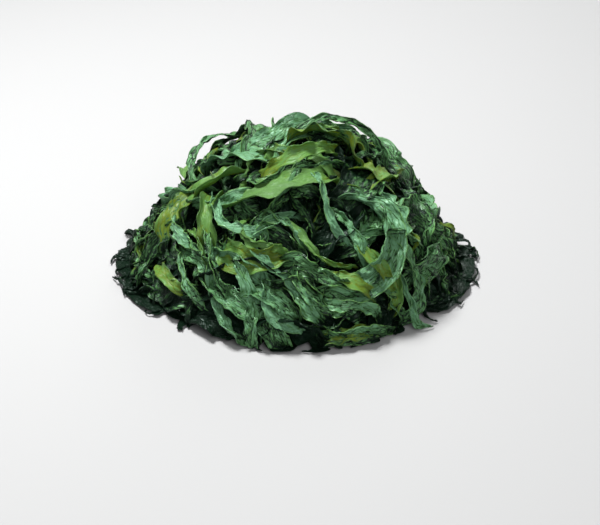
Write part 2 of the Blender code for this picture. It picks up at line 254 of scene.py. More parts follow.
class WakameSizes(bpy.types.PropertyGroup):
    """Sizes of the fine fronds."""

    blade_thickness: FloatProperty(
        name="Blade thickness", description="Thickness of a frond at its middle line",
        default=0.0006, min=0.0003, max=0.002, unit="LENGTH",
    )
    grid_pitch: FloatProperty(
        name="Grid pitch", description="Distance between rows of points along a frond of the tangle",
        default=0.0014, min=0.0008, max=0.01, unit="LENGTH",
    )
    crease_depth: FloatProperty(
        name="Crease depth", description="Height of the creases that run along a frond",
        default=0.0009, min=0, max=0.003, unit="LENGTH",
    )
    small_fronds: IntProperty(
        name="Small fronds", description="How many small fronds fill the gaps",
        default=150, min=0, max=400,
    )
    ribbons: IntProperty(
        name="Ribbons", description="How many folded ribbons lie on the front",
        default=22, min=0, max=60,
    )
    strands: IntProperty(
        name="Strands", description="How many narrow strands curl over the heap",
        default=150, min=0, max=300,
    )


class WakameColours(bpy.types.PropertyGroup):
    """Colours of the leaf, from its deepest shade to its edges."""

    # Deep green: partly the darkest leaf, partly where painted shade brings the tone and the wrinkle valleys
    # down
    deep: FloatVectorProperty(
        name="Deep green", description="Darkest leaf", default=(0.003, 0.011, 0.005), size=3,
        subtype="COLOR", min=0, max=1,
    )
    body: FloatVectorProperty(
        name="Body green", description="Most of the leaf", default=(0.076, 0.198, 0.062), size=3,
        subtype="COLOR", min=0, max=1,
    )
    teal: FloatVectorProperty(
        name="Teal green", description="Paler, bluish leaf", default=(0.128, 0.290, 0.155), size=3,
        subtype="COLOR", min=0, max=1,
    )
    olive: FloatVectorProperty(
        name="Olive", description="Thin leaf that light shines through", default=(0.135, 0.185, 0.008),
        size=3, subtype="COLOR", min=0, max=1,
    )
    bright: FloatVectorProperty(
        name="Bright green", description="Smooth young leaf", default=(0.098, 0.208, 0.058), size=3,
        subtype="COLOR", min=0, max=1,
    )
    # Rim green: paler edges, partly their own colour and partly painted light shining through the thin leaf
    rim: FloatVectorProperty(
        name="Rim green", description="Edges of the leaf", default=(0.125, 0.280, 0.060), size=3,
        subtype="COLOR", min=0, max=1,
    )
    floor: FloatVectorProperty(
        name="Floor", description="Pale floor", default=(0.354, 0.354, 0.354), size=3, subtype="COLOR",
        min=0, max=1,
    )


def mound_profile():
    """Distance down the mound's side, and the radius and height there: z = H (1 - (r/R)^n)."""
    radius = np.linspace(0, HEAP_RADIUS, 600)
    height = HEAP_HEIGHT * (1 - (radius / HEAP_RADIUS) ** ROUNDNESS)
    steps = np.hypot(np.diff(radius), np.diff(height))
    return np.concatenate([[0], np.cumsum(steps)]), radius, height


DISTANCE, RADIUS, HEIGHT = mound_profile()
SLOPE_RADIUS = np.gradient(RADIUS, DISTANCE)
SLOPE_HEIGHT = np.gradient(HEIGHT, DISTANCE)


def on_mound(right, back):
    """The point of the mound at a place on the unrolled sheet, and the mound's outward normal there.

    The mound leans a little to the right, and low lumps rise and sink on it.
    """
    distance = np.hypot(right, back)
    bearing = np.arctan2(back, right)
    radius = np.interp(distance, DISTANCE, RADIUS) + np.maximum(distance - DISTANCE[-1], 0)
    height = np.interp(distance, DISTANCE, HEIGHT)
    out = -np.interp(distance, DISTANCE, SLOPE_HEIGHT)
    up = np.interp(distance, DISTANCE, SLOPE_RADIUS)
    size = np.hypot(out, up)
    point = np.stack([radius * np.cos(bearing), radius * np.sin(bearing), height], -1)
    normal = np.stack([out / size * np.cos(bearing), out / size * np.sin(bearing), up / size], -1)
    point[..., 0] += LEAN * (height / HEAP_HEIGHT) ** 2
    turns = TAU / LUMP_LENGTH
    lump = np.sin(right * turns + 0.8) * np.cos(back * turns * 0.9 + 0.5)
    lump *= LUMP_HEIGHT * np.minimum(height / HEAP_HEIGHT * 2, 1)
    return point + normal * lump[..., None], normal


def above_mound(points):
    """How far points stand above the mound's surface, along its normal, or below it where negative."""
    radius = np.hypot(points[..., 0] - LEAN * (points[..., 2] / HEAP_HEIGHT) ** 2, points[..., 1])
    slope = np.gradient(HEIGHT, RADIUS)
    rise = points[..., 2] - np.interp(radius, RADIUS, HEIGHT)
    return rise / np.hypot(1, np.interp(radius, RADIUS, slope))


def unit(vectors):
    """Vectors at length one."""
    return vectors / np.maximum(np.linalg.norm(vectors, axis=-1, keepdims=True), 1e-12)


def running_sum(values, step, axis=0):
    """The integral of values from the first sample, by trapezoids."""
    values = np.moveaxis(values, axis, 0)
    total = np.zeros_like(values)
    total[1:] = np.cumsum((values[1:] + values[:-1]) / 2, axis=0) * step
    return np.moveaxis(total, 0, axis)


def frond_axis(frond, phases):
    """The middle line of a frond, with the mound's normal below it, at evenly spaced places along it."""
    along = np.linspace(0, 1, AXIS_SAMPLES)
    spread = 2 * along - 1
    turn = frond.heading + frond.bend * (along - 0.5) + frond.sway * np.sin(TAU * along + phases[0])
    turn = np.radians(turn)
    step = frond.length * MM / (AXIS_SAMPLES - 1)
    right = running_sum(np.cos(turn), step)
    back = running_sum(np.sin(turn), step)
    middle = AXIS_SAMPLES // 2
    right += frond.right * MM - right[middle]
    back += frond.back * MM - back[middle]
    lift = frond.rise * (1 - spread**2) - frond.dip * spread**4
    lift += frond.bob * np.sin(TAU * frond.bobs * along + phases[1])
    base, normal = on_mound(right, back)
    return base + normal * (lift * MM)[:, None], normal


def frond_section(frond, phases):
    """Across a frond, at places along it: how far its cross-section reaches sideways and up.

    The section's direction turns by cup and fold, and is summed, so that the strip keeps its true width.
    The width narrows to both ends, where it is rounded off, and swells a little along the way.
    """
    along = np.linspace(0, 1, AXIS_SAMPLES)[:, None]
    across = np.linspace(-0.5, 0.5, SECTION_SAMPLES)[None, :]
    cup = np.radians(frond.cup) * (1 + 0.5 * np.sin(TAU * 1.3 * along + phases[2]))
    fold = np.radians(frond.fold) * np.sin(TAU * 0.8 * along + phases[3])
    tilt = cup * across + fold * np.sin(TAU * across)
    step = 1 / (SECTION_SAMPLES - 1)
    side = running_sum(np.cos(tilt), step, 1)
    up = running_sum(np.sin(tilt), step, 1)
    middle = SECTION_SAMPLES // 2
    taper = np.sin(math.pi * (0.07 + 0.88 * along)) ** 0.6
    taper = taper * (1 + 0.13 * np.sin(TAU * 2.1 * along + phases[4]))
    taper = taper * (0.04 + 0.96 * np.sqrt(1 - np.abs(2 * along - 1) ** 14))
    width = frond.width * MM * taper
    return width * (side - side[:, middle, None]), width * (up - up[:, middle, None])


def resample(grid, places, axis):
    """Reads a grid at fractional places along one axis, by a cubic through the four nearest samples."""
    last = grid.shape[axis] - 1
    low = np.clip(places.astype(int), 0, last - 1)
    share = (places - low).reshape([-1 if i == axis else 1 for i in range(grid.ndim)])
    before, first = np.take(grid, np.maximum(low - 1, 0), axis), np.take(grid, low, axis)
    second, after = np.take(grid, low + 1, axis), np.take(grid, np.minimum(low + 2, last), axis)
    pull = second - before
    push = 2 * before - 5 * first + 4 * second - after
    jerk = 3 * (first - second) + after - before
    return first + 0.5 * share * (pull + share * (push + share * jerk))


def frond_surface(frond, rows, columns):
    """A frond's middle surface as a grid of points, rows along it and columns across it."""
    phases = np.random.default_rng(frond.seed).uniform(0, TAU, 8)
    axis, normal = frond_axis(frond, phases)
    side, up = frond_section(frond, phases)
    tangent = unit(np.gradient(axis, axis=0))
    sideways = unit(np.cross(normal, tangent))
    outward = np.cross(tangent, sideways)

    along = np.linspace(0, 1, AXIS_SAMPLES)
    across = np.linspace(-0.5, 0.5, SECTION_SAMPLES)
    roll = np.radians(frond.roll + frond.twist * (along - 0.5))[:, None]
    left = sideways * np.cos(roll) + outward * np.sin(roll)
    top = outward * np.cos(roll) - sideways * np.sin(roll)

    edge = np.abs(2 * across) ** 2.5
    beat = TAU * frond.waves * along + 0.9 * np.sin(TAU * 1.7 * along + phases[5])
    wave_left = np.sin(beat + phases[6])[:, None] * (across < 0)
    wave_right = np.sin(beat * 1.13 + phases[7])[:, None] * (across > 0)
    up = up + frond.ruffle * MM * edge * (wave_left + wave_right)
    grid = axis[:, None] + left[:, None] * side[..., None] + top[:, None] * up[..., None]

    reach = np.linspace(0, 1, rows) * (AXIS_SAMPLES - 1)
    spread = np.linspace(0, 1, columns) * (SECTION_SAMPLES - 1)
    return resample(resample(grid, reach, 0), spread, 1)


def pleats(frond, along, across):
    """Height of the pleats that run along a frond, from about -1 to 1.

    They lie a few millimetres apart, and wander and fade: each is one minus twice the size of a sine of the
    distance across plus slow waves along, which makes narrow crests between round hollows.
    """
    draw = np.random.default_rng(1000 + frond.seed)
    height = np.zeros_like(along * across)
    for pitch, share in ((5.6, 0.50), (3.0, 0.32), (1.7, 0.18)):
        phase = draw.uniform(0, TAU, 4)
        wander = 1.3 * np.sin(TAU * along / draw.uniform(18, 36) + phase[0])
        wander = wander + 0.7 * np.sin(TAU * along / draw.uniform(7, 13) + phase[1])
        wave = np.sin(math.pi * across / pitch + wander + phase[2])
        fade = 0.6 + 0.4 * np.sin(TAU * along / draw.uniform(12, 26) + 3 * across / frond.width + phase[3])
        height += share * (1 - 2 * np.abs(wave)) * fade
    return height


def crumples(frond, along, across):
    """Height of the low bulges of a frond and of the short waves at its edges, from about -1 to 1."""
    draw = np.random.default_rng(3000 + frond.seed)
    phase = draw.uniform(0, TAU, 4)
    bulge = np.sin(TAU * along / draw.uniform(11, 19) + phase[0] + 0.25 * across)
    bulge = 0.8 * bulge * np.sin(TAU * across / draw.uniform(10, 18) + phase[1])
    edge = np.abs(2 * across / frond.width) ** 3
    short = np.sin(TAU * along / draw.uniform(8, 12) + 1.5 * np.sin(TAU * along / 23 + phase[2]) + phase[3])
    return bulge + 0.4 * edge * short * np.sign(across)


def blade(frond, sizes, pitch=None, columns=None):
    """A closed wrinkled blade: points, triangles, places on the leaf, and shades for each point.

    The middle surface is moved along its normal by the creases, and split into two faces half the thickness
    to either side, which thins towards the edges. The floor holds every point up, softly, and what reaches
    out of the heap is drawn in to a share of its excess. The tone falls with depth in the heap and towards
    the floor: painted shade, as the heap shades its deeper and lower fronds.
    """
    pitch = pitch or sizes.grid_pitch
    rows = max(8, round(frond.length * MM / pitch))
    columns = columns or int(np.clip(round(frond.width / 0.75) + 1, 9, 29))
    grid = frond_surface(frond, rows, columns)
    along = np.linspace(0, frond.length, rows)[:, None]
    across = np.linspace(-0.5, 0.5, columns)[None, :] * frond.width
    normal = unit(np.cross(np.gradient(grid, axis=0), np.gradient(grid, axis=1)))
    ridge = pleats(frond, along, across)
    relief = ridge * frond.crease + crumples(frond, along, across) * (0.5 + 0.5 * frond.crease)
    relief = relief * sizes.crease_depth
    grid = grid + normal * relief[..., None]
    grid[..., 2] = FLOOR_GAP + FLOOR_SOFTNESS * np.logaddexp(0, (grid[..., 2] - FLOOR_GAP) / FLOOR_SOFTNESS)
    reach = np.hypot(grid[..., 0] / REACH[0], grid[..., 1] / REACH[1])
    inside = np.minimum(reach, 1 + REACH_SHARE * np.maximum(reach - 1, 0))
    grid[..., :2] *= (inside / np.maximum(reach, 1e-9))[..., None]
    normal = unit(np.cross(np.gradient(grid, axis=0), np.gradient(grid, axis=1)))
    edge = np.broadcast_to(np.abs(2 * across / frond.width), relief.shape)
    half = (sizes.blade_thickness / 2 * (1 - 0.55 * edge**2))[..., None]
    points = np.concatenate([(grid + normal * half).reshape(-1, 3), (grid - normal * half).reshape(-1, 3)])

    index = np.arange(rows * columns).reshape(rows, columns)
    a, b = index[:-1, :-1].ravel(), index[1:, :-1].ravel()
    c, d = index[1:, 1:].ravel(), index[:-1, 1:].ravel()
    upper = np.concatenate([np.stack([a, b, c], 1), np.stack([a, c, d], 1)])
    lower = upper[:, ::-1] + rows * columns
    rim = np.concatenate([index[:, 0], index[-1, 1:], index[-2::-1, -1], index[0, -2:0:-1]])
    after = np.roll(rim, -1)
    below, below_after = rim + rows * columns, after + rows * columns
    sides = np.concatenate([np.stack([after, rim, below], 1), np.stack([after, below, below_after], 1)])
    triangles = np.concatenate([upper, lower, sides])

    place = np.stack(np.broadcast_arrays(across * MM, along * MM), -1).reshape(-1, 2)
    place = place + np.random.default_rng(frond.seed).uniform(0, 1, 2)
    # Painted shade: the tone drops below the mound's surface, deep in the heap, and more so low on the heap
    depth = np.clip((SHADE_START_HEIGHT - above_mound(grid)) / (SHADE_START_HEIGHT - FULL_SHADE_HEIGHT), 0, 1)
    low = 1 - np.clip(grid[..., 2] / HEAP_HEIGHT, 0, 1)
    tone = frond.tone - (0.28 + 0.62 * low) * depth - 0.07 * low
    shades = {"edge": edge, "tone": tone, "ridge": ridge}
    shades = {label: np.tile(values.ravel(), 2) for label, values in shades.items()}
    return points, triangles, np.tile(place, (2, 1)), shades


def packed_core():
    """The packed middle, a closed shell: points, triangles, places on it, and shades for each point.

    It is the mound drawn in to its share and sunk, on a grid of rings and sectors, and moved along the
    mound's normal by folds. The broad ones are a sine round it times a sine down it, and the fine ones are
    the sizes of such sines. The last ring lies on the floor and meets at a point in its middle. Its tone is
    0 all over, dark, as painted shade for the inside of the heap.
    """
    ring = np.linspace(0, 1, CORE_RINGS)[:, None]
    angle = np.linspace(0, TAU, CORE_SECTORS, endpoint=False)[None, :]
    ring, angle = np.broadcast_arrays(ring, angle)
    distance = ring * DISTANCE[-1]
    point, normal = on_mound(distance * np.cos(angle), distance * np.sin(angle))
    broad = np.sin(12 * angle + 7 * ring + 1.5 * np.sin(2 * angle))
    broad = broad * np.sin(11 * ring + 2 * np.sin(3 * angle))
    fine = np.abs(np.sin(31 * angle + 9 * np.sin(8 * ring) + 20 * ring)) - 0.5
    fine = fine + np.abs(np.sin(47 * ring + 6 * np.sin(5 * angle))) - 0.5
    point[..., :2] *= CORE_SHARE
    point[..., 2] *= 1 - CORE_DROP / HEAP_HEIGHT
    relief = CORE_RELIEF * broad * (1 - 0.6 * ring**4) + CORE_FOLDS * fine * np.minimum(ring * 8, 1)
    point = point + normal * (relief - CORE_SINK)[..., None]
    point[..., 2] = np.maximum(point[..., 2], 0.0004)
    point[-1, :, 2] = 0.0
    index = np.arange(CORE_RINGS * CORE_SECTORS).reshape(CORE_RINGS, CORE_SECTORS)
    after = np.roll(index, -1, axis=1)
    a, b = index[:-1].ravel(), index[1:].ravel()
    c, d = after[1:].ravel(), after[:-1].ravel()
    triangles = np.concatenate([np.stack([a, b, c], 1), np.stack([a, c, d], 1)])
    points = np.concatenate([point.reshape(-1, 3), [[0.0, 0.0, 0.0]]])
    hub = np.full(CORE_SECTORS, len(points) - 1)
    triangles = np.concatenate([triangles, np.stack([hub, after[-1], index[-1]], 1)])
    place = np.concatenate([np.stack([angle * 0.06, distance], -1).reshape(-1, 2), [[0.0, 0.0]]])
    # Painted shade: tone 0 all over, for the shade inside the heap; no edge and no pleats
    flat = np.zeros(len(points))
    return points, triangles, place, {"edge": flat, "tone": flat, "ridge": flat}


def finish_of(slot):
    """The material of a slot, made with the others when one is first asked for."""
    if FINISHES[slot] not in bpy.data.materials:
        add_materials(bpy.context.scene.wakame_colours)
    return bpy.data.materials[FINISHES[slot]]


def add_piece(name, blades, slot, nodes=()):
    """Joins blades into one piece that rides on the heap, in the finish of a slot, in place of CAD nodes.

    Without blades, as where their count is set to none, it adds nothing.
    """
    if not blades:
        return
    starts = np.cumsum([0] + [len(made[0]) for made in blades])
    points = np.concatenate([made[0] for made in blades])
    triangles = np.concatenate([made[1] + start for made, start in zip(blades, starts)])
    places = np.concatenate([made[2] for made in blades])
    mesh = bpy.data.meshes.new(name)
    mesh.vertices.add(len(points))
    mesh.vertices.foreach_set("co", points.astype(np.float32).ravel())
    mesh.loops.add(triangles.size)
    mesh.loops.foreach_set("vertex_index", triangles.astype(np.int32).ravel())
    mesh.polygons.add(len(triangles))
    mesh.polygons.foreach_set("loop_start", np.arange(0, triangles.size, 3, dtype=np.int32))
    mesh.update(calc_edges=True)
    layer = mesh.uv_layers.new(name="leaf")
    layer.data.foreach_set("uv", places[triangles.ravel()].astype(np.float32).ravel())
    for label in SHADES:
        attribute = mesh.attributes.new(label, "FLOAT", "POINT")
        values = np.concatenate([made[3][label] for made in blades])
        attribute.data.foreach_set("value", values.astype(np.float32))
    mesh.validate()
    mesh.polygons.foreach_set("use_smooth", np.ones(len(mesh.polygons), dtype=bool))
    mesh.set_sharp_from_angle(angle=math.radians(60))
    piece = bpy.data.objects.new(name, mesh)
    bpy.context.scene.collection.objects.link(piece)
    mesh.materials.append(finish_of(slot))
    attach(piece, "root")
    if nodes:
        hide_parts(*nodes)


def tangle_fronds():
    """The fronds that cross in the heap, in rings round the mound, as in the part's source.

    They are darker low on the front: painted shade, where the ribbons lie over them.
    """
    draw = np.random.default_rng(TANGLE_SEED)
    fronds = []
    for outer, count in TANGLE_RINGS:
        start = draw.uniform(0, 360)
        for k in range(count):
            distance = (outer + draw.uniform(-0.04, 0.04)) * DISTANCE[-1] / MM
            bearing = start + (k + draw.uniform(-0.25, 0.25)) * 360 / count
            slant = draw.uniform(15, 75) * (1 - 0.6 * outer) * (-1) ** k
            # How far a frond faces the front; its tone is lowered by this, painted shade under the front
            # ribbons
            front = max(0, -math.sin(math.radians(bearing)))
            fronds.append(
                Frond(
                    f"tangled_{len(fronds):02d}",
                    right=distance * math.cos(math.radians(bearing)),
                    back=distance * math.sin(math.radians(bearing)),
                    heading=bearing + 90 + slant,
                    bend=draw.uniform(-110, 110) * (1 - 0.5 * outer),
                    length=draw.uniform(70, 104) * (1 - 0.22 * outer),
                    width=draw.uniform(15, 25) * (1 - 0.25 * outer),
                    rise=draw.uniform(0, 6) * (1 - 0.5 * outer),
                    dip=draw.uniform(13, 19),
                    sway=draw.uniform(0, 30),
                    bob=draw.uniform(0.3, 1.8),
                    bobs=draw.uniform(1.5, 3),
                    roll=draw.uniform(-38, 38),
                    twist=draw.uniform(-90, 90),
                    cup=draw.uniform(30, 130),
                    fold=draw.uniform(0, 40),
                    ruffle=draw.uniform(1, 2.6),
                    waves=draw.uniform(3, 6),
                    seed=100 + len(fronds),
                    tone=0.85 * ((0.35 + GOLDEN_SHARE * len(fronds)) % 1) - 0.65 * front * outer,
                )
            )
    return fronds


def small_fronds(count):
    """Small fronds that fill the gaps, spread evenly over the mound by the golden angle.

    The higher they lie, the more of them are of the light kind. They are darker low on the front: painted
    shade under the front ribbons.
    """
    draw = np.random.default_rng(5)
    fronds = []
    for k in range(count):
        outer = math.sqrt((k + 0.5) / count)
        distance = outer * 0.97 * DISTANCE[-1] / MM
        bearing = k * GOLDEN_ANGLE + draw.uniform(-8, 8)
        # How far a frond faces the front; its tone is lowered by this, painted shade under the front ribbons
        front = max(0, -math.sin(math.radians(bearing)))
        fronds.append(
            Frond(
                f"small_{k:03d}",
                right=distance * math.cos(math.radians(bearing)),
                back=distance * math.sin(math.radians(bearing)),
                heading=bearing + 90 + draw.uniform(-80, 80) * (1 - 0.3 * outer),
                bend=draw.uniform(-130, 130),
                length=draw.uniform(38, 74),
                width=draw.uniform(6, 12),
                rise=draw.uniform(-3, 2.5),
                dip=draw.uniform(6, 12),
                sway=draw.uniform(0, 40),
                bob=draw.uniform(0.5, 2),
                bobs=draw.uniform(1.5, 3),
                roll=draw.uniform(-60, 60),
                twist=draw.uniform(-140, 140),
                cup=draw.uniform(60, 190),
                fold=draw.uniform(0, 60),
                ruffle=draw.uniform(0.6, 1.8),
                waves=draw.uniform(3, 6),
                seed=400 + k,
                slot="light_frond" if draw.uniform() < 0.55 - 0.42 * outer else "dark_frond",
                tone=draw.uniform(-0.2, 0.8 - 0.4 * outer) - 0.5 * front * outer,
            )
        )
    return fronds


def front_ribbons(count):
    """Folded ribbons on the front, which run steeply down to the right on its left, less so further on."""
    draw = np.random.default_rng(21)
    fronds = []
    for k in range(count):
        right = -76 + 152 * (k + 0.5) / count + draw.uniform(-4, 4)
        back = -(50 + 58 * (GOLDEN_SHARE * k % 1)) * math.sqrt(1 - (right / 130) ** 2)
        fronds.append(
            Frond(
                f"ribbon_{k:02d}",
                right=right,
                back=back,
                heading=0.35 * right - 38 + draw.uniform(-22, 22),
                bend=draw.uniform(-70, 70),
                length=draw.uniform(50, 88),
                width=draw.uniform(4.2, 8) * (0.75 if k % 5 == 2 else 1),
                rise=draw.uniform(6.5, 10.5),
                dip=draw.uniform(9, 12),
                sway=draw.uniform(10, 40),
                bob=draw.uniform(0.3, 1.2),
                roll=draw.uniform(-35, 35),
                twist=draw.uniform(-130, 130),
                cup=draw.uniform(80, 170),
                fold=draw.uniform(10, 50),
                ruffle=draw.uniform(0.6, 1.6),
                waves=draw.uniform(3, 6),
                seed=700 + k,
                slot="light_frond" if k % 5 == 2 else "dark_frond",
                tone=draw.uniform(0.35, 1.2),
                crease=1.2,
            )
        )
    return fronds


def narrow_strands(count):
    """Narrow strands that curl over the heap. Every third frizzes out at its foot, to the left or right."""
    draw = np.random.default_rng(8)
    fronds = []
    for k in range(count):
        outer = math.sqrt(draw.uniform(0.02, 1))
        bearing = k * GOLDEN_ANGLE
        if k % 3 == 0:
            outer = draw.uniform(0.88, 1.06)
            bearing = draw.uniform(-32, 14) if k % 2 else draw.uniform(166, 212)
        distance = outer * DISTANCE[-1] / MM
        fronds.append(
            Frond(
                f"strand_{k:03d}",
                right=distance * math.cos(math.radians(bearing)),
                back=distance * math.sin(math.radians(bearing)),
                heading=draw.uniform(0, 360),
                bend=draw.uniform(-300, 300),
                length=draw.uniform(26, 62),
                width=draw.uniform(3, 8) * (1 - 0.35 * outer),
                rise=draw.uniform(1.5, 6),
                dip=draw.uniform(2, 9),
                sway=draw.uniform(10, 60),
                bob=draw.uniform(0.5, 2),
                bobs=draw.uniform(1.5, 3),
                roll=draw.uniform(-90, 90),
                twist=draw.uniform(-180, 180),
                cup=draw.uniform(30, 160),
                ruffle=draw.uniform(0.4, 1.2),
                waves=draw.uniform(3, 7),
                seed=800 + k,
                slot="light_frond" if draw.uniform() < 0.34 - 0.26 * outer else "dark_frond",
                tone=draw.uniform(0, max(0.4, 1 - 0.85 * outer)),
            )
        )
    return fronds


def node(tree, kind, inputs=(), **values):
    """A shader node with its values set, and its inputs linked or set."""
    made = tree.nodes.new(kind)
    for key, value in values.items():
        setattr(made, key, value)
    for key, value in dict(inputs).items():
        if isinstance(value, bpy.types.NodeSocket):
            tree.links.new(value, made.inputs[key])
        else:
            made.inputs[key].default_value = value
    return made


def worked(tree, operation, *values, clamp=False):
    """The result of a Math node."""
    inputs = dict(enumerate(values))
    return node(tree, "ShaderNodeMath", inputs, operation=operation, use_clamp=clamp).outputs[0]


def ranged(tree, value, low, high, least=0.0, most=1.0, interpolation="LINEAR"):
    """A value whose range from low to high is mapped to that from least to most."""
    inputs = {"Value": value, "From Min": low, "From Max": high, "To Min": least, "To Max": most}
    return node(tree, "ShaderNodeMapRange", inputs, interpolation_type=interpolation).outputs[0]


def noise(tree, place, scale, detail, distortion=0.0):
    """A soft noise, from 0 to 1, with its middle at a half."""
    inputs = {"Vector": place, "Scale": scale, "Detail": detail, "Distortion": distortion}
    return node(tree, "ShaderNodeTexNoise", inputs).outputs[0]


def ramp(tree, factor, stops):
    """A colour ramp through (place, colour) stops."""
    made = node(tree, "ShaderNodeValToRGB", inputs={0: factor})
    elements = made.color_ramp.elements
    while len(elements) < len(stops):
        elements.new(0.5)
    for element, (place, colour) in zip(elements, stops):
        element.position = place
        element.color = (*colour, 1)
    return made.outputs[0]


def wrinkles(tree, place, scale):
    """Rounded ridges with thin valleys between them, 0 to 1: how far a noise is from its middle."""
    away = worked(tree, "SUBTRACT", noise(tree, place, scale, 1.5, 0.7), 0.5)
    away = worked(tree, "ABSOLUTE", away)
    return ranged(tree, away, 0, 0.07, interpolation="SMOOTHSTEP")


def leaf_material(name, stops, rim, gloss, through, depth, wrinkled):
    """Wet leaf: shades by frond and in soft patches, wrinkles along it, paler edges, and gloss.

    stops are the colours from the darkest shade to the palest, rim is that of the edges, partly their own
    and partly painted light shining through them, gloss is the least and the greatest roughness, through is
    the share of light that passes the leaf, depth is that of its wrinkles, and wrinkled says how much they
    darken it, a painted shade in their valleys. A dark shade, partly the leaf's own and partly painted, has
    less gloss and no paler edge.
    """
    material = bpy.data.materials.new(name)
    material.use_nodes = True
    tree = material.node_tree
    shader = tree.nodes["Principled BSDF"]
    output = tree.nodes["Material Output"]
    objects = node(tree, "ShaderNodeTexCoord").outputs["Object"]
    leaf = node(tree, "ShaderNodeUVMap", uv_map="leaf").outputs[0]
    edge, tone, ridge = (
        node(tree, "ShaderNodeAttribute", attribute_name=label).outputs["Fac"] for label in SHADES
    )

    patches = noise(tree, objects, 55, 4)
    lengthwise = node(tree, "ShaderNodeMapping", {"Vector": leaf, "Scale": (1, 0.25, 1)}).outputs[0]
    wide = wrinkles(tree, lengthwise, 400)
    fine = wrinkles(tree, lengthwise, 950)
    both = worked(tree, "MULTIPLY_ADD", fine, 0.7, wide)

    shade = worked(tree, "MULTIPLY_ADD", patches, 1.10, -0.42)
    # The tone brings in the painted shade that each point has deep and low in the heap
    shade = worked(tree, "ADD", tone, shade)
    # Painted highlight: the crests of the pleats are paler
    shade = worked(tree, "MULTIPLY_ADD", ridge, 0.18, shade)
    # Painted shade: the thin valleys of the wrinkles are darker
    dark = worked(tree, "MULTIPLY_ADD", both, wrinkled, -1.55 * wrinkled)
    shade = worked(tree, "ADD", shade, dark, clamp=True)
    colour = ramp(tree, shade, stops)

    places = ranged(tree, noise(tree, objects, 28, 2), 0.43, 0.58)
    # The paler edge: partly the leaf's own, partly painted light shining through the thin edge; it fades out
    # where the shade is low
    edge_colour_and_glow = worked(tree, "MULTIPLY", ranged(tree, edge, 0.92, 1.0, most=0.8), places)
    edge_colour_and_glow = worked(tree, "MULTIPLY", edge_colour_and_glow, ranged(tree, shade, 0, 0.3))
    mixed = {0: edge_colour_and_glow, 6: colour, 7: (*rim, 1)}
    colour = node(tree, "ShaderNodeMix", data_type="RGBA", inputs=mixed).outputs[2]
    tree.links.new(colour, shader.inputs["Base Color"])

    tree.links.new(ranged(tree, patches, 0.3, 0.7, *gloss), shader.inputs["Roughness"])
    bump = node(tree, "ShaderNodeBump", {"Height": both, "Strength": 1.0, "Distance": depth}).outputs[0]
    tree.links.new(bump, shader.inputs["Normal"])
    # Less specular where the tone is low, so that the painted shade dims the reflections as well
    tree.links.new(ranged(tree, tone, -0.7, 0.1, 0.06, 0.34), shader.inputs["Specular IOR Level"])
    shader.inputs["Specular Tint"].default_value = (0.75, 0.95, 0.85, 1)

    glow = node(tree, "ShaderNodeBsdfTranslucent", {"Color": colour, "Normal": bump}).outputs[0]
    blend = node(tree, "ShaderNodeMixShader", {0: through, 1: shader.outputs[0], 2: glow}).outputs[0]
    tree.links.new(blend, output.inputs["Surface"])


def add_materials(colours):
    """The finishes of the three slots."""
    deep, body, teal, olive, bright, rim = (
        tuple(getattr(colours, key)) for key in ("deep", "body", "teal", "olive", "bright", "rim")
    )
    dark = [(0.0, deep), (0.35, body), (0.85, teal)]
    light = [(0.0, deep), (0.10, body), (0.24, olive), (0.5, rim), (0.85, bright)]
    stem = [(0.0, body), (0.4, teal), (0.9, rim)]
    leaf_material(FINISHES["dark_frond"], dark, rim, (0.28, 0.42), 0.10, 0.00028, 0.55)
    leaf_material(FINISHES["light_frond"], light, bright, (0.28, 0.46), 0.30, 0.00012, 0.16)
    leaf_material(FINISHES["midrib"], stem, teal, (0.34, 0.50), 0.05, 0.00040, 0.30)


class WAKAME_OT_add_core(bpy.types.Operator):
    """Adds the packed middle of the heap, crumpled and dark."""

    bl_idname = "wakame.add_core"
    bl_label = "Packed middle"

    def execute(self, context):
        add_piece("packed_core", [packed_core()], "dark_frond")
        return {"FINISHED"}


class WAKAME_OT_add_tangle(bpy.types.Operator):
    """Adds the fronds that cross in the heap, ring by ring."""

    bl_idname = "wakame.add_tangle"
    bl_label = "Tangled fronds"

    def execute(self, context):
        sizes = context.scene.wakame_sizes
        fronds = tangle_fronds() + FOOT_FRONDS
        for k, nodes in enumerate((("tangled_fronds",), (), ())):
            blades = [blade(f, sizes) for f in fronds[k::3]]
            add_piece(f"tangled_fronds_{k + 1}", blades, "dark_frond", nodes)
        return {"FINISHED"}


class WAKAME_OT_add_free(bpy.types.Operator):
    """Adds the thirteen fronds that lie free on the heap, each in place of its solid."""

    bl_idname = "wakame.add_free"
    bl_label = "Free fronds"

    def execute(self, context):
        sizes = context.scene.wakame_sizes
        for frond in FREE_FRONDS:
            made = blade(frond, sizes, pitch=FREE_PITCH)
            add_piece(f"{frond.name}_leaf", [made], frond.slot, (frond.name,))
        return {"FINISHED"}


class WAKAME_OT_add_face(bpy.types.Operator):
    """Adds the fronds of the heap's visible face."""

    bl_idname = "wakame.add_face"
    bl_label = "Face fronds"

    def execute(self, context):
        sizes = context.scene.wakame_sizes
        for slot in ("dark_frond", "light_frond"):
            blades = [blade(f, sizes, pitch=FACE_PITCH) for f in FACE_FRONDS if f.slot == slot]
            add_piece(f"face_{slot}s", blades, slot)
        return {"FINISHED"}


class WAKAME_OT_add_ribbons(bpy.types.Operator):
    """Adds the folded ribbons on the front."""

    bl_idname = "wakame.add_ribbons"
    bl_label = "Front ribbons"

    def execute(self, context):
        sizes = context.scene.wakame_sizes
        fronds = front_ribbons(sizes.ribbons)
        for slot in ("dark_frond", "light_frond"):
            blades = [blade(f, sizes, pitch=FACE_PITCH) for f in fronds if f.slot == slot]
            add_piece(f"front_{slot}s", blades, slot)
        return {"FINISHED"}


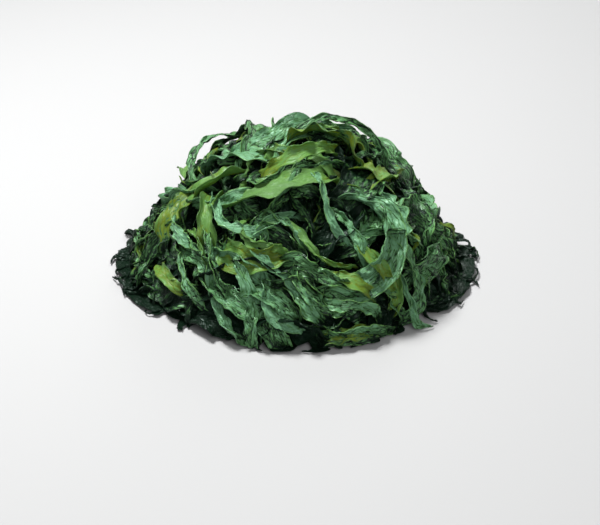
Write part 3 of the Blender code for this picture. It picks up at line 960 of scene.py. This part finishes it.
class WAKAME_OT_add_small(bpy.types.Operator):
    """Adds the small fronds that fill the gaps."""

    bl_idname = "wakame.add_small"
    bl_label = "Small fronds"

    def execute(self, context):
        sizes = context.scene.wakame_sizes
        fronds = small_fronds(sizes.small_fronds)
        for slot in ("dark_frond", "light_frond"):
            chosen = [f for f in fronds if f.slot == slot]
            half = max(1, math.ceil(len(chosen) / 2))
            for k in range(0, len(chosen), half):
                blades = [blade(f, sizes, pitch=SMALL_PITCH, columns=9) for f in chosen[k : k + half]]
                add_piece(f"small_{slot}s_{k // half + 1}", blades, slot)
        return {"FINISHED"}


class WAKAME_OT_add_strands(bpy.types.Operator):
    """Adds the narrow strands that curl over the heap and at its foot."""

    bl_idname = "wakame.add_strands"
    bl_label = "Narrow strands"

    def execute(self, context):
        sizes = context.scene.wakame_sizes
        fronds = narrow_strands(sizes.strands)
        for slot in ("dark_frond", "light_frond"):
            blades = [blade(f, sizes, pitch=STRAND_PITCH, columns=6) for f in fronds if f.slot == slot]
            add_piece(f"narrow_{slot}s", blades, slot)
        return {"FINISHED"}


class WAKAME_OT_add_stage(bpy.types.Operator):
    """Adds the floor, the soft lights and the camera."""

    bl_idname = "wakame.add_stage"
    bl_label = "Stage"

    def execute(self, context):
        scene = context.scene
        mesh = bpy.data.meshes.new("floor")
        corners = [(-1, -1, 0), (1, -1, 0), (1, 1, 0), (-1, 1, 0)]
        mesh.from_pydata([Vector(corner) * FLOOR_REACH for corner in corners], [], [(0, 1, 2, 3)])
        floor = bpy.data.objects.new("floor", mesh)
        floor.location.z = -FLOOR_DROP
        scene.collection.objects.link(floor)
        material = bpy.data.materials.new("floor")
        material.use_nodes = True
        shader = material.node_tree.nodes["Principled BSDF"]
        shader.inputs["Base Color"].default_value = (*scene.wakame_colours.floor, 1)
        shader.inputs["Roughness"].default_value = 0.9
        shader.inputs["Specular IOR Level"].default_value = 0.1
        mesh.materials.append(material)

        world = bpy.data.worlds.new("studio")
        world.use_nodes = True
        sky = world.node_tree.nodes["Background"]
        sky.inputs["Color"].default_value = (0.95, 0.98, 1.0, 1)
        sky.inputs["Strength"].default_value = 0.22
        scene.world = world
        for name, place, size, power in LIGHTS:
            light = bpy.data.lights.new(name, "AREA")
            light.size = size
            light.energy = power
            lamp = bpy.data.objects.new(name, light)
            lamp.location = place
            beam = Vector(LIGHT_TARGET) - lamp.location
            lamp.rotation_euler = beam.to_track_quat("-Z", "Y").to_euler()
            scene.collection.objects.link(lamp)

        data = bpy.data.cameras.new("camera")
        data.lens = CAMERA_LENS
        data.sensor_width = 36
        data.shift_x, data.shift_y = CAMERA_SHIFT
        camera = bpy.data.objects.new("camera", data)
        tilt = math.radians(CAMERA_ELEVATION)
        back = Vector((0, -math.cos(tilt), math.sin(tilt)))
        camera.location = Vector(CAMERA_TARGET) + back * CAMERA_DISTANCE
        camera.rotation_euler = (-back).to_track_quat("-Z", "Y").to_euler()
        scene.collection.objects.link(camera)
        scene.camera = camera
        scene.view_settings.view_transform = "Standard"
        return {"FINISHED"}


class WAKAME_PT_panel(bpy.types.Panel):
    """Lists the pieces of the heap."""

    bl_idname = "WAKAME_PT_panel"
    bl_label = "Wakame heap"
    bl_space_type = "VIEW_3D"
    bl_region_type = "UI"
    bl_category = "Wakame"

    def draw(self, context):
        layout = self.layout
        for group in (context.scene.wakame_sizes, context.scene.wakame_colours):
            box = layout.box()
            for key in group.__annotations__:
                box.prop(group, key)
        for operator in OPERATORS:
            layout.operator(operator.bl_idname)


OPERATORS = (
    WAKAME_OT_add_stage,
    WAKAME_OT_add_core,
    WAKAME_OT_add_tangle,
    WAKAME_OT_add_free,
    WAKAME_OT_add_face,
    WAKAME_OT_add_ribbons,
    WAKAME_OT_add_small,
    WAKAME_OT_add_strands,
)
CLASSES = (WakameSizes, WakameColours, *OPERATORS, WAKAME_PT_panel)


def register():
    """Makes the operators, the panel and the scene's sizes and colours known."""
    for made in CLASSES:
        bpy.utils.register_class(made)
    bpy.types.Scene.wakame_sizes = PointerProperty(type=WakameSizes)
    bpy.types.Scene.wakame_colours = PointerProperty(type=WakameColours)


def unregister():
    """Takes them out again."""
    del bpy.types.Scene.wakame_colours
    del bpy.types.Scene.wakame_sizes
    for made in reversed(CLASSES):
        bpy.utils.unregister_class(made)


def main():
    """Adds the stage and every piece."""
    register()
    bpy.ops.wakame.add_stage()
    bpy.ops.wakame.add_core()
    bpy.ops.wakame.add_tangle()
    bpy.ops.wakame.add_free()
    bpy.ops.wakame.add_face()
    bpy.ops.wakame.add_ribbons()
    bpy.ops.wakame.add_small()
    bpy.ops.wakame.add_strands()


if __name__ == "__main__":
    main()
